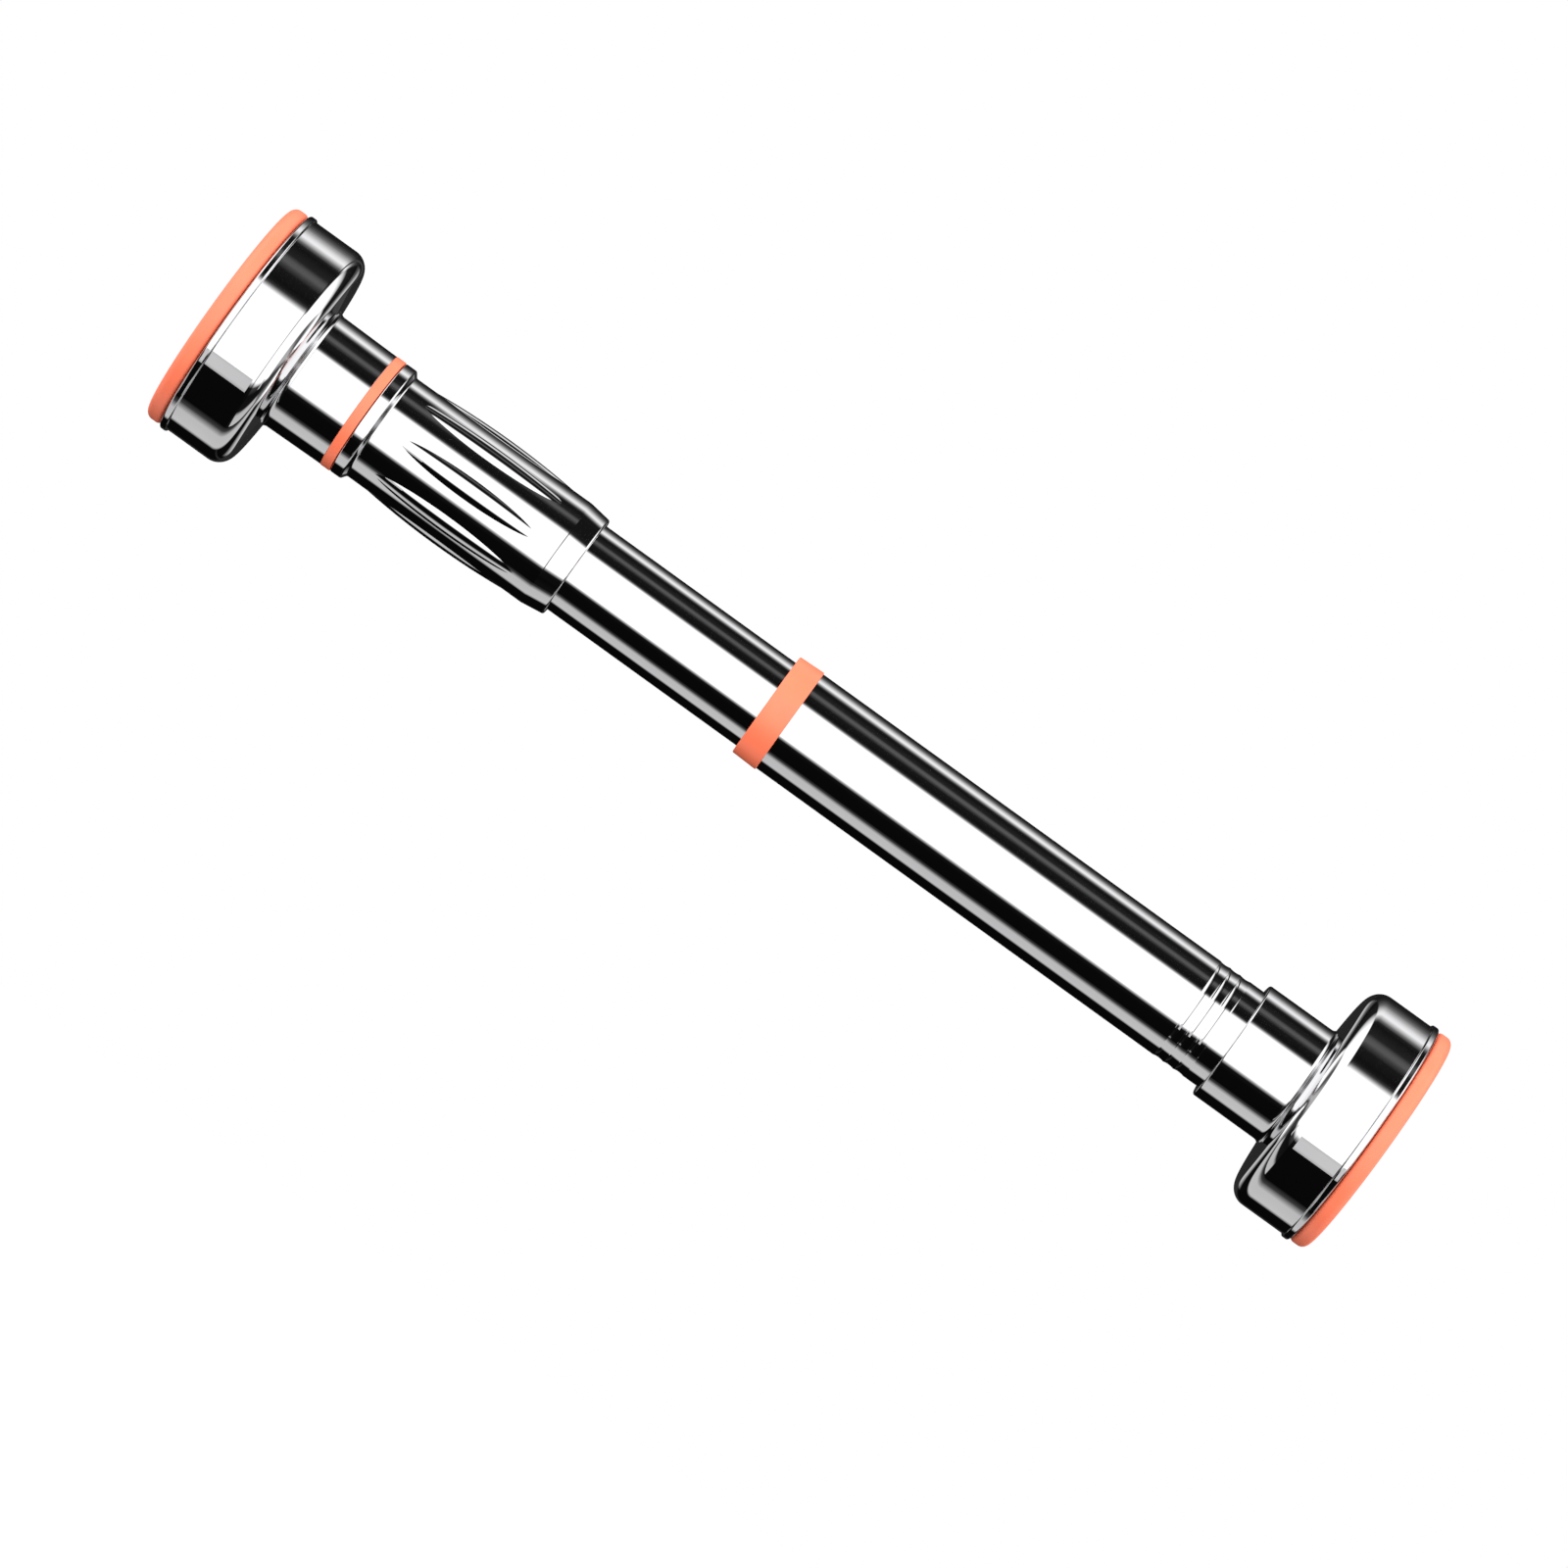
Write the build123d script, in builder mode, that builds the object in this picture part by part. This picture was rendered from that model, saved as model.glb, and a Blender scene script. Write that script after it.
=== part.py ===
"""Telescopic doorway pull up bar, in millimetres.

The bar lies along X with its axis through the origin, which is the middle of its overall
length when the sleeve is screwed right in. The left foot is at -X, the right foot at +X.
"""

from build123d import *
from math import atan2, cos, degrees, radians, tan
import os

os.makedirs("parts", exist_ok=True)

# ---------------------------------------------------------------- driving dimensions

overall_length = 532.0
press_gap = 0.02  # radial, between pieces pressed or screwed together
slip_gap = 0.1  # radial, between pieces of one group that drop in
running_gap = 0.08  # radial, between a shaft and the bore that it turns or slides in
moving_gap = 0.3  # between other faces that move past each other
cut_past = 1.0  # how far a hole's cutter runs past the piece
pin_end_inset = 0.2  # each end of a cross pin, below the tube's skin

# Tubes
inner_tube_diameter = 38.0
inner_tube_wall = 1.5
tube_space = 1.0  # radial, between the tubes, filled by the mouth ring's spigot and the bush
outer_tube_wall = 1.5
tube_mouth_x = -4.4  # where the outer tube ends and its mouth ring starts
tube_insertion = 86.4  # how far the inner tube reaches into the outer one
groove_count = 3
groove_pitch = 4.6
groove_depth = 0.32
last_groove_from_neck = 9.0

# Ring and bush in the outer tube's mouth
mouth_ring_length = 10.8
mouth_ring_front_stand = 0.25  # radial, proud of the outer tube
mouth_ring_back_stand = 0.6
mouth_ring_front_radius = 0.6
mouth_ring_back_radius = 0.3
mouth_spigot_length = 8.0
guide_bush_length = 20.0
guide_bush_space = 0.2

# Feet: depths are measured inward from the face of the rubber pad
cup_diameter = 95.0
pad_thickness = 6.7
pad_overhang = 2.4  # radial, past the plate
pad_front_edge_radius = 3.0
pad_back_edge_radius = 1.8
pad_groove_count = 3
pad_groove_from_edge = 12.0
pad_groove_pitch = 8.0
pad_groove_width = 2.4
pad_groove_depth = 1.1
plate_edge_gap = 0.4  # radial, inside the cup
plate_thickness = 2.0
plate_proud = 0.4  # how far the plate stands out of the cup's rim
plate_edge_chamfer = 0.3
plate_screw_from_edge = 13.3
plate_screw_count = 3
plate_screw_length = 14.0
screw_shank_diameter = 4.0
screw_head_diameter = 8.0
screw_head_height = 2.0
screw_socket_across = 2.5
screw_socket_depth = 1.4

cup_wall = 1.8
cup_depth = 28.0
cup_corner_radius = 7.3
cup_back_slope = 5.5  # degrees
bead_height = 0.9
bead_width = 3.0
bead_radius = 0.85
neck_wall = 3.4  # round the outer tube, at the neck's root
neck_root_radius = 2.4
left_neck_length = 26.5
left_neck_taper = 0.4  # radial, from root to mouth
left_neck_wall = 2.0
right_neck_length = 30.4
right_neck_taper = 0.05
right_neck_edge_radius = 0.9

# Bolts that hold the feet on
bolt_diameter = 8.0
bolt_length = 24.0
bolt_head_across = 13.0
bolt_head_height = 5.3
washer_diameter = 20.0
washer_thickness = 1.6
bolt_pocket_diameter = 23.0
bolt_pocket_floor = 16.0  # depth from the pad's face
tapped_extra = 4.0

# Plug in the outer tube's right end
tube_end_depth = 30.0
end_plug_length = 30.0
end_plug_flange = 3.0
end_plug_pin_diameter = 5.0
end_plug_pin_depth = 52.0

# Jack screw and its seat in the left foot
jack_diameter = 16.0
jack_pitch = 4.0
jack_turns = 6
jack_head_across = 21.0
jack_head_height = 7.0
jack_head_floor = 28.0  # depth from the pad's face
jack_pocket_space = 0.7
jack_tail = 8.0  # screw still in the plug when it is right out
jack_end_chamfer = 1.0
trim_ring_width = 4.1
trim_ring_stand = 0.15  # radial, proud of the neck's mouth
trim_ring_edge_radius = 0.3
trim_bore_space = 1.0  # radial, round the jack screw
trim_spigot_length = 5.0

# Twist sleeve
sleeve_length = 95.6
collar_length = 3.9
collar_edge_rounding = 0.5
shoulder_length = 3.1
shoulder_rounding = 1.2
sleeve_spread = 0.35  # radial, from the shoulder to the bend
sleeve_end_wall = 2.35
sleeve_taper_length = 9.4
sleeve_bend_rounding = 8.0
sleeve_end_rounding = 1.0
rib_count = 8
rib_length = 62.0
rib_width = 7.6
rib_height = 1.5
rib_middle_from_left = 46.6

# Drive nut and its chamber in the sleeve
chamber_wall = 1.6
chamber_seat = 1.7  # radial, how far the chamber is wider than the inner tube
nut_flange_wall = 2.3  # of the collar round the nut's flange
nut_flange_thickness = 2.5
nut_body_length = 6.5
nut_key_diameter = 2.4
nut_key_count = 2
circlip_thickness = 1.0
circlip_depth = 0.7
circlip_from_face = 0.3
circlip_width = 2.6
circlip_opening = 8.0
front_washer_thickness = 1.5
back_washer_thickness = 1.5
washer_space = 0.2
thrust_gap = 0.15  # end play each side of the plug's flange

# Keyed plug in the inner tube's left end
inner_plug_length = 24.0
inner_plug_flange = 3.0
inner_plug_pin_diameter = 4.0
inner_plug_pin_from_flange = 12.0
key_width = 4.0
key_length = 18.0
key_depth_in_screw = 1.6
key_depth_in_plug = 2.2
key_end_space = 2.0

# Twist lock at the inner tube's hidden end
lock_plug_length = 22.0
lock_plug_flange = 2.0
lock_pin_diameter = 4.0
lock_pin_from_end = 12.0
lock_stud_diameter = 8.0
lock_stud_pitch = 1.25
lock_turns = 1.5
lock_stud_hold = 8.0  # stud held in the plug
lock_stud_chamfer = 0.6
lock_collar_length = 26.0
lock_collar_floor = 5.7
lock_slot_width = 3.0
lock_slot_floor = 1.0  # radial, from the stud's hole to the slot
lock_slot_count = 4
wedge_length = 14.0
wedge_edge_space = 5.0  # radial, from the wedge's large end to the outer tube
wedge_rise = 5.0  # radial, from its small end to its large end
wedge_stand_out = 1.7  # how far the released wedge stands out of the collar
wedge_lug_length = 8.0
wedge_lug_height = 3.0
stop_nut_across = 13.0
stop_nut_thickness = 5.0
stop_nut_stud_past = 1.0  # how far the stud stands out of the nut
stop_nut_space = 1.0

# ---------------------------------------------------------------- worked-out places

half_length = overall_length / 2
inner_tube_radius = inner_tube_diameter / 2
inner_bore_radius = inner_tube_radius - inner_tube_wall
guide_radius = inner_tube_radius + running_gap
outer_bore_radius = inner_tube_radius + tube_space
outer_tube_radius = outer_bore_radius + outer_tube_wall
outer_tube_diameter = 2 * outer_tube_radius
cup_radius = cup_diameter / 2
plate_radius = cup_radius - cup_wall - plate_edge_gap
plate_screw_circle = plate_radius - plate_screw_from_edge
pad_radius = plate_radius + pad_overhang
neck_root_outer_radius = outer_tube_radius + neck_wall
left_mouth_radius = neck_root_outer_radius - left_neck_taper
right_mouth_radius = neck_root_outer_radius - right_neck_taper
collar_radius = left_mouth_radius
trim_ring_radius = left_mouth_radius + trim_ring_stand

rim_depth = pad_thickness + plate_proud
core_face_depth = pad_thickness + plate_thickness
core_inset = cup_wall + slip_gap
core_radius = cup_radius - core_inset


def back_depth(radius, inset):
    """Depth of the cup's sloping back face at a radius, moved in by an inset."""
    slope = radians(cup_back_slope)
    return rim_depth + cup_depth + (cup_radius - radius) * tan(slope) - inset / cos(slope)


neck_root_depth = back_depth(neck_root_outer_radius, 0)
left_mouth_depth = neck_root_depth + left_neck_length
right_mouth_depth = neck_root_depth + right_neck_length
left_neck_bore_radius = left_mouth_radius - left_neck_wall
left_hub_radius = left_neck_bore_radius - slip_gap
left_hub_end_depth = left_mouth_depth - trim_spigot_length - slip_gap
trim_face_depth = left_mouth_depth + trim_ring_width
bolt_start_depth = bolt_pocket_floor - washer_thickness
bolt_tip_depth = bolt_start_depth + bolt_length
bolt_hole_radius = bolt_diameter / 2 + slip_gap
tapped_radius = bolt_diameter / 2 + press_gap

outer_tube_right_x = half_length - tube_end_depth
right_mouth_x = half_length - right_mouth_depth
mouth_ring_left_x = tube_mouth_x - mouth_ring_length
spigot_right_x = tube_mouth_x + mouth_spigot_length
bush_left_x = spigot_right_x + guide_bush_space

sleeve_left_x = -half_length + trim_face_depth + moving_gap
sleeve_right_x = sleeve_left_x + sleeve_length
chamber_radius = inner_tube_radius + chamber_seat
sleeve_left_radius = chamber_radius + chamber_wall
sleeve_bend_radius = sleeve_left_radius + sleeve_spread
sleeve_end_radius = inner_tube_radius + sleeve_end_wall
nut_flange_radius = collar_radius - nut_flange_wall
circlip_left_x = sleeve_left_x + circlip_from_face
nut_left_x = circlip_left_x + circlip_thickness
nut_seat_x = nut_left_x + nut_flange_thickness
nut_right_x = nut_seat_x + nut_body_length
front_washer_right_x = nut_right_x + front_washer_thickness
inner_flange_left_x = front_washer_right_x + thrust_gap
inner_tube_left_x = inner_flange_left_x + inner_plug_flange
back_washer_left_x = inner_tube_left_x + thrust_gap
chamber_right_x = back_washer_left_x + back_washer_thickness
inner_plug_right_x = inner_tube_left_x + inner_plug_length
inner_plug_pin_x = inner_tube_left_x + inner_plug_pin_from_flange
inner_tube_right_x = tube_mouth_x + tube_insertion

jack_travel = jack_pitch * jack_turns
jack_radius = jack_diameter / 2
jack_bore_radius = jack_radius + running_gap
trim_bore_radius = jack_radius + trim_bore_space
jack_head_left_x = -half_length + jack_head_floor
jack_right_x = inner_plug_right_x + jack_travel + jack_tail
key_right_x = inner_plug_right_x - key_end_space
key_left_x = key_right_x - key_length
key_floor_radius = jack_radius - key_depth_in_screw
key_top_radius = jack_radius + key_depth_in_plug

lock_flange_right_x = inner_tube_right_x + lock_plug_flange
lock_pin_x = inner_tube_right_x - lock_pin_from_end
collar_left_x = lock_flange_right_x + moving_gap
collar_right_x = collar_left_x + lock_collar_length
wedge_right_x = collar_right_x + wedge_stand_out
wedge_left_x = wedge_right_x - wedge_length
lock_travel = lock_stud_pitch * lock_turns
wedge_large_radius = outer_bore_radius - wedge_edge_space
wedge_small_radius = wedge_large_radius - wedge_rise
stop_nut_left_x = wedge_right_x + stop_nut_space
stud_right_x = stop_nut_left_x + stop_nut_thickness + stop_nut_stud_past

# ---------------------------------------------------------------- shared shapes


def foot_x(side, depth):
    """X of a depth behind a foot's pad face: side is -1 at the left, 1 at the right."""
    return side * (half_length - depth)


def foot_plane(side, depth):
    """A plane across the bar at a depth in a foot, facing out of that foot."""
    return Plane(origin=(foot_x(side, depth), 0, 0), x_dir=(0, 1, 0), z_dir=(side, 0, 0))


def spin(points, corner_radii=0.0):
    """Revolves a closed outline of (x, radius) points about the bar's axis."""
    with BuildSketch(Plane.XZ) as outline:
        with BuildLine():
            FilletPolyline(*points, radius=corner_radii, close=True)
        make_face()
    revolve(outline.sketch, axis=Axis.X)


def ring(left_x, right_x, inner_radius, outer_radius, mode=Mode.ADD):
    """A plain ring round the bar's axis."""
    with BuildSketch(Plane.YZ.offset(left_x)) as section:
        Circle(outer_radius)
        if inner_radius > 0:
            Circle(inner_radius, mode=Mode.SUBTRACT)
    extrude(section.sketch, amount=right_x - left_x, mode=mode)


def cross_rod(x, radius, length, mode=Mode.ADD):
    """A round rod along Y through the bar's axis, such as a cross pin or its hole."""
    with BuildSketch(Plane.XZ) as section:
        with Locations((x, 0)):
            Circle(radius)
    extrude(section.sketch, amount=length / 2, both=True, mode=mode)


# ---------------------------------------------------------------- outer tube

with BuildPart() as outer_tube:
    ring(tube_mouth_x, outer_tube_right_x, outer_bore_radius, outer_tube_radius)
    # Each groove is a shallow arc that meets its neighbour at a sharp land.
    half_pitch = groove_pitch / 2
    groove_arc = (half_pitch**2 + groove_depth**2) / (2 * groove_depth)
    groove_arc_centre = outer_tube_radius + groove_arc - groove_depth
    last_groove_x = right_mouth_x - last_groove_from_neck
    with BuildSketch(Plane.XZ) as grooves:
        for groove in range(groove_count):
            with Locations((last_groove_x - groove * groove_pitch, groove_arc_centre)):
                Circle(groove_arc)
    revolve(axis=Axis.X, mode=Mode.SUBTRACT)
    end_plug_pin_x = foot_x(1, end_plug_pin_depth)
    cross_rod(
        end_plug_pin_x,
        end_plug_pin_diameter / 2 + press_gap,
        outer_tube_diameter + cut_past,
        mode=Mode.SUBTRACT,
    )
outer_tube.part.label = "outer_tube"
export_step(outer_tube.part, "parts/outer_tube.step")

# The orange ring butts on the tube's end and its spigot fills the gap inside.
with BuildPart() as mouth_ring:
    spigot_radius = outer_bore_radius - press_gap
    spin(
        [
            (mouth_ring_left_x, guide_radius),
            (mouth_ring_left_x, outer_tube_radius + mouth_ring_front_stand),
            (tube_mouth_x, outer_tube_radius + mouth_ring_back_stand),
            (tube_mouth_x, spigot_radius),
            (spigot_right_x, spigot_radius),
            (spigot_right_x, guide_radius),
        ],
        [0, mouth_ring_front_radius, mouth_ring_back_radius, 0, 0, 0],
    )
mouth_ring.part.label = "mouth_ring"
export_step(mouth_ring.part, "parts/mouth_ring.step")

with BuildPart() as guide_bush:
    ring(bush_left_x, bush_left_x + guide_bush_length, guide_radius, spigot_radius)
guide_bush.part.label = "guide_bush"
export_step(guide_bush.part, "parts/guide_bush.step")

with BuildPart() as outer_end_plug:
    ring(outer_tube_right_x - end_plug_length, outer_tube_right_x, 0, spigot_radius)
    ring(outer_tube_right_x, outer_tube_right_x + end_plug_flange, 0, outer_tube_radius)
    tapped_left_x = foot_x(1, bolt_tip_depth + tapped_extra)
    ring(tapped_left_x, half_length, 0, tapped_radius, mode=Mode.SUBTRACT)
    cross_rod(
        end_plug_pin_x,
        end_plug_pin_diameter / 2 + press_gap,
        outer_tube_diameter,
        mode=Mode.SUBTRACT,
    )
outer_end_plug.part.label = "outer_end_plug"
export_step(outer_end_plug.part, "parts/outer_end_plug.step")

with BuildPart() as end_plug_pin:
    cross_rod(end_plug_pin_x, end_plug_pin_diameter / 2, outer_tube_diameter - 2 * pin_end_inset)
end_plug_pin.part.label = "end_plug_pin"
export_step(end_plug_pin.part, "parts/end_plug_pin.step")

# ---------------------------------------------------------------- inner tube

with BuildPart() as inner_tube:
    ring(inner_tube_left_x, inner_tube_right_x, inner_bore_radius, inner_tube_radius)
    cross_rod(
        inner_plug_pin_x,
        inner_plug_pin_diameter / 2 + press_gap,
        inner_tube_diameter + cut_past,
        mode=Mode.SUBTRACT,
    )
    cross_rod(
        lock_pin_x,
        lock_pin_diameter / 2 + press_gap,
        inner_tube_diameter + cut_past,
        mode=Mode.SUBTRACT,
    )
inner_tube.part.label = "inner_tube"
export_step(inner_tube.part, "parts/inner_tube.step")


def key_bar(left_x, right_x, floor_radius, top_radius, width, mode=Mode.ADD):
    """A bar along X above the axis, such as the key or the slot that it lies in."""
    with BuildSketch(Plane.YZ.offset(left_x)) as section:
        with Locations((0, (floor_radius + top_radius) / 2)):
            Rectangle(width, top_radius - floor_radius)
    extrude(section.sketch, amount=right_x - left_x, mode=mode)


# Two short pins hold the plug, clear of the screw that slides through it.
plug_pin_inner_radius = key_top_radius + slip_gap
plug_pin_outer_radius = inner_tube_radius - slip_gap
with BuildPart() as plug_pins:
    with BuildSketch(Plane.XZ.offset(plug_pin_inner_radius)):
        with Locations((inner_plug_pin_x, 0)):
            Circle(inner_plug_pin_diameter / 2)
    extrude(amount=plug_pin_outer_radius - plug_pin_inner_radius)
    mirror(about=Plane.XZ)
plug_pins.part.label = "plug_pins"
export_step(plug_pins.part, "parts/plug_pins.step")

with BuildPart() as inner_end_plug:
    flange_radius = chamber_radius - moving_gap
    ring(inner_flange_left_x, inner_tube_left_x, jack_bore_radius, flange_radius)
    ring(inner_tube_left_x, inner_plug_right_x, jack_bore_radius, inner_bore_radius - press_gap)
    key_bar(
        inner_flange_left_x,
        inner_plug_right_x,
        jack_radius - key_depth_in_screw,
        key_top_radius + press_gap,
        key_width + 2 * press_gap,
        mode=Mode.SUBTRACT,
    )
    with BuildSketch(Plane.XZ.offset(plug_pin_inner_radius - slip_gap)):
        with Locations((inner_plug_pin_x, 0)):
            Circle(inner_plug_pin_diameter / 2 + press_gap)
    extrude(amount=inner_bore_radius, mode=Mode.SUBTRACT)
    with BuildSketch(Plane.XZ.offset(-plug_pin_inner_radius + slip_gap)):
        with Locations((inner_plug_pin_x, 0)):
            Circle(inner_plug_pin_diameter / 2 + press_gap)
    extrude(amount=-inner_bore_radius, mode=Mode.SUBTRACT)
inner_end_plug.part.label = "inner_end_plug"
export_step(inner_end_plug.part, "parts/inner_end_plug.step")

with BuildPart() as screw_key:
    key_bar(key_left_x, key_right_x, key_floor_radius, key_top_radius, key_width)
screw_key.part.label = "screw_key"
export_step(screw_key.part, "parts/screw_key.step")

# ---------------------------------------------------------------- twist lock

with BuildPart() as lock_plug:
    lock_plug_left_x = inner_tube_right_x - lock_plug_length
    ring(lock_plug_left_x, inner_tube_right_x, 0, inner_bore_radius - press_gap)
    ring(inner_tube_right_x, lock_flange_right_x, 0, inner_tube_radius)
    stud_left_x = lock_flange_right_x - lock_stud_hold
    ring(
        stud_left_x,
        lock_flange_right_x,
        0,
        lock_stud_diameter / 2 + press_gap,
        mode=Mode.SUBTRACT,
    )
    cross_rod(
        lock_pin_x,
        lock_pin_diameter / 2 + press_gap,
        inner_tube_diameter,
        mode=Mode.SUBTRACT,
    )
lock_plug.part.label = "lock_plug"
export_step(lock_plug.part, "parts/lock_plug.step")

with BuildPart() as lock_pin:
    cross_rod(lock_pin_x, lock_pin_diameter / 2, inner_tube_diameter - 2 * pin_end_inset)
lock_pin.part.label = "lock_pin"
export_step(lock_pin.part, "parts/lock_pin.step")

with BuildPart() as lock_stud:
    ring(stud_left_x, stud_right_x, 0, lock_stud_diameter / 2)
    chamfer(lock_stud.edges().filter_by(GeomType.CIRCLE), length=lock_stud_chamfer)
lock_stud.part.label = "lock_stud"
export_step(lock_stud.part, "parts/lock_stud.step")

with BuildPart() as lock_stop_nut:
    with BuildSketch(Plane.YZ.offset(stop_nut_left_x)):
        RegularPolygon(stop_nut_across / 2, 6, major_radius=False)
        Circle(lock_stud_diameter / 2 + press_gap, mode=Mode.SUBTRACT)
    extrude(amount=stop_nut_thickness)
lock_stop_nut.part.label = "lock_stop_nut"
export_step(lock_stop_nut.part, "parts/lock_stop_nut.step")

# Twisting the tube draws the wedge into the slotted collar, which grips the outer tube.
wedge_slope = wedge_rise / wedge_length
wedge_room = lock_travel * wedge_slope + moving_gap * (1 + wedge_slope)


def wedge_radius(x):
    """Radius of the released wedge's cone at a place along the bar."""
    return wedge_small_radius + (x - wedge_left_x) * wedge_slope


with BuildPart() as lock_collar:
    collar_floor_x = collar_left_x + lock_collar_floor
    stud_clear_radius = lock_stud_diameter / 2 + moving_gap
    spin(
        [
            (collar_left_x, stud_clear_radius),
            (collar_left_x, outer_bore_radius - running_gap),
            (collar_right_x, outer_bore_radius - running_gap),
            (collar_right_x, wedge_radius(collar_right_x) + wedge_room),
            (wedge_left_x - lock_travel, wedge_radius(wedge_left_x - lock_travel) + wedge_room),
            (collar_floor_x, wedge_radius(wedge_left_x - lock_travel) + wedge_room),
            (collar_floor_x, stud_clear_radius),
        ]
    )
    lock_slot_reach = outer_bore_radius - stud_clear_radius - lock_slot_floor
    with BuildSketch(Plane.YZ.offset(collar_right_x)):
        with PolarLocations(outer_bore_radius, lock_slot_count):
            Rectangle(2 * lock_slot_reach, lock_slot_width)
    extrude(amount=collar_floor_x - collar_right_x, mode=Mode.SUBTRACT)
lock_collar.part.label = "lock_collar"
export_step(lock_collar.part, "parts/lock_collar.step")

with BuildPart() as lock_wedge:
    spin(
        [
            (wedge_left_x, 0),
            (wedge_left_x, wedge_small_radius),
            (wedge_right_x, wedge_large_radius),
            (wedge_right_x, 0),
        ]
    )
    # A lug in every slot of the collar stops the wedge turning.
    lug_top = wedge_large_radius + wedge_lug_height - moving_gap
    with BuildSketch(Plane.YZ.offset(wedge_right_x)):
        with PolarLocations(lug_top / 2, lock_slot_count):
            Rectangle(lug_top, lock_slot_width - 2 * moving_gap)
    extrude(amount=-wedge_lug_length)
    ring(
        wedge_left_x,
        wedge_right_x,
        0,
        lock_stud_diameter / 2 + running_gap,
        mode=Mode.SUBTRACT,
    )
lock_wedge.part.label = "lock_wedge"
export_step(lock_wedge.part, "parts/lock_wedge.step")

# ---------------------------------------------------------------- twist sleeve

# A rib is the top of a slim spindle, which leaves a lens with pointed ends on the sleeve.
rib_arc = ((rib_width / 2) ** 2 + rib_height**2) / (2 * rib_height)
sleeve_middle_radius = (sleeve_left_radius + sleeve_bend_radius) / 2
rib_axis_radius = sleeve_middle_radius + rib_height - rib_arc
rib_tilt = degrees(atan2(sleeve_spread, sleeve_length - collar_length - sleeve_taper_length))
with BuildPart() as rib:
    with BuildSketch(Plane.XZ):
        with BuildLine():
            rib_back = ThreePointArc(
                (rib_arc - rib_height, -rib_length / 2),
                (rib_arc, 0),
                (rib_arc - rib_height, rib_length / 2),
            )
            Polyline(rib_back @ 1, (0, rib_length / 2), (0, -rib_length / 2), rib_back @ 0)
        make_face()
    revolve(axis=Axis.Z)

rib_middle_x = sleeve_left_x + rib_middle_from_left
with BuildPart(Plane.YZ.offset(rib_middle_x)) as twist_sleeve:
    shoulder_inset = shoulder_length / 4
    shoulder_right_x = sleeve_left_x + collar_length + shoulder_length
    spin(
        [
            (sleeve_left_x, nut_flange_radius + slip_gap),
            (sleeve_left_x, collar_radius),
            (sleeve_left_x + collar_length + shoulder_inset, collar_radius),
            (shoulder_right_x - shoulder_inset, sleeve_left_radius),
            (sleeve_right_x - sleeve_taper_length, sleeve_bend_radius),
            (sleeve_right_x, sleeve_end_radius),
            (sleeve_right_x, guide_radius - running_gap / 2),
            (nut_seat_x, guide_radius - running_gap / 2),
            (nut_seat_x, nut_flange_radius + slip_gap),
        ],
        [
            0,
            collar_edge_rounding,
            shoulder_rounding,
            shoulder_rounding,
            sleeve_bend_rounding,
            sleeve_end_rounding,
            0,
            0,
            0,
        ],
    )
    with PolarLocations(rib_axis_radius, rib_count):
        add(rib.part, rotation=(0, rib_tilt, 0))
    ring(nut_seat_x, sleeve_right_x, 0, guide_radius, mode=Mode.SUBTRACT)
    ring(nut_seat_x, chamber_right_x, 0, chamber_radius, mode=Mode.SUBTRACT)
    ring(
        circlip_left_x,
        nut_left_x,
        0,
        nut_flange_radius + circlip_depth,
        mode=Mode.SUBTRACT,
    )
    with BuildSketch(Plane.YZ.offset(nut_left_x)):
        with PolarLocations(nut_flange_radius, nut_key_count):
            Circle(nut_key_diameter / 2 + press_gap)
    extrude(amount=nut_flange_thickness, mode=Mode.SUBTRACT)
twist_sleeve.part.label = "twist_sleeve"
export_step(twist_sleeve.part, "parts/twist_sleeve.step")

with BuildPart() as drive_nut:
    ring(nut_left_x, nut_seat_x, 0, nut_flange_radius)
    ring(nut_seat_x, nut_right_x, 0, chamber_radius - press_gap)
    ring(nut_left_x, nut_right_x, 0, jack_bore_radius, mode=Mode.SUBTRACT)
    with BuildSketch(Plane.YZ.offset(nut_left_x)):
        with PolarLocations(nut_flange_radius, nut_key_count):
            Circle(nut_key_diameter / 2 + press_gap)
    extrude(amount=nut_flange_thickness, mode=Mode.SUBTRACT)
drive_nut.part.label = "drive_nut"
export_step(drive_nut.part, "parts/drive_nut.step")

with BuildPart() as nut_keys:
    with BuildSketch(Plane.YZ.offset(nut_left_x)):
        with PolarLocations(nut_flange_radius, nut_key_count):
            Circle(nut_key_diameter / 2)
    extrude(amount=nut_flange_thickness)
nut_keys.part.label = "nut_keys"
export_step(nut_keys.part, "parts/nut_keys.step")

with BuildPart() as nut_circlip:
    circlip_radius = nut_flange_radius + circlip_depth - press_gap
    ring(circlip_left_x, nut_left_x, circlip_radius - circlip_width, circlip_radius)
    with BuildSketch(Plane.YZ.offset(circlip_left_x)):
        with Locations((0, circlip_radius)):
            Rectangle(circlip_opening, 2 * circlip_radius)
    extrude(amount=circlip_thickness, mode=Mode.SUBTRACT)
nut_circlip.part.label = "nut_circlip"
export_step(nut_circlip.part, "parts/nut_circlip.step")

with BuildPart() as front_thrust_washer:
    ring(
        nut_right_x,
        front_washer_right_x,
        jack_radius + moving_gap,
        chamber_radius - washer_space,
    )
front_thrust_washer.part.label = "front_thrust_washer"
export_step(front_thrust_washer.part, "parts/front_thrust_washer.step")

with BuildPart() as back_thrust_washer:
    ring(back_washer_left_x, chamber_right_x, guide_radius, chamber_radius - slip_gap)
back_thrust_washer.part.label = "back_thrust_washer"
export_step(back_thrust_washer.part, "parts/back_thrust_washer.step")

# ---------------------------------------------------------------- jack screw and trim ring

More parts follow.
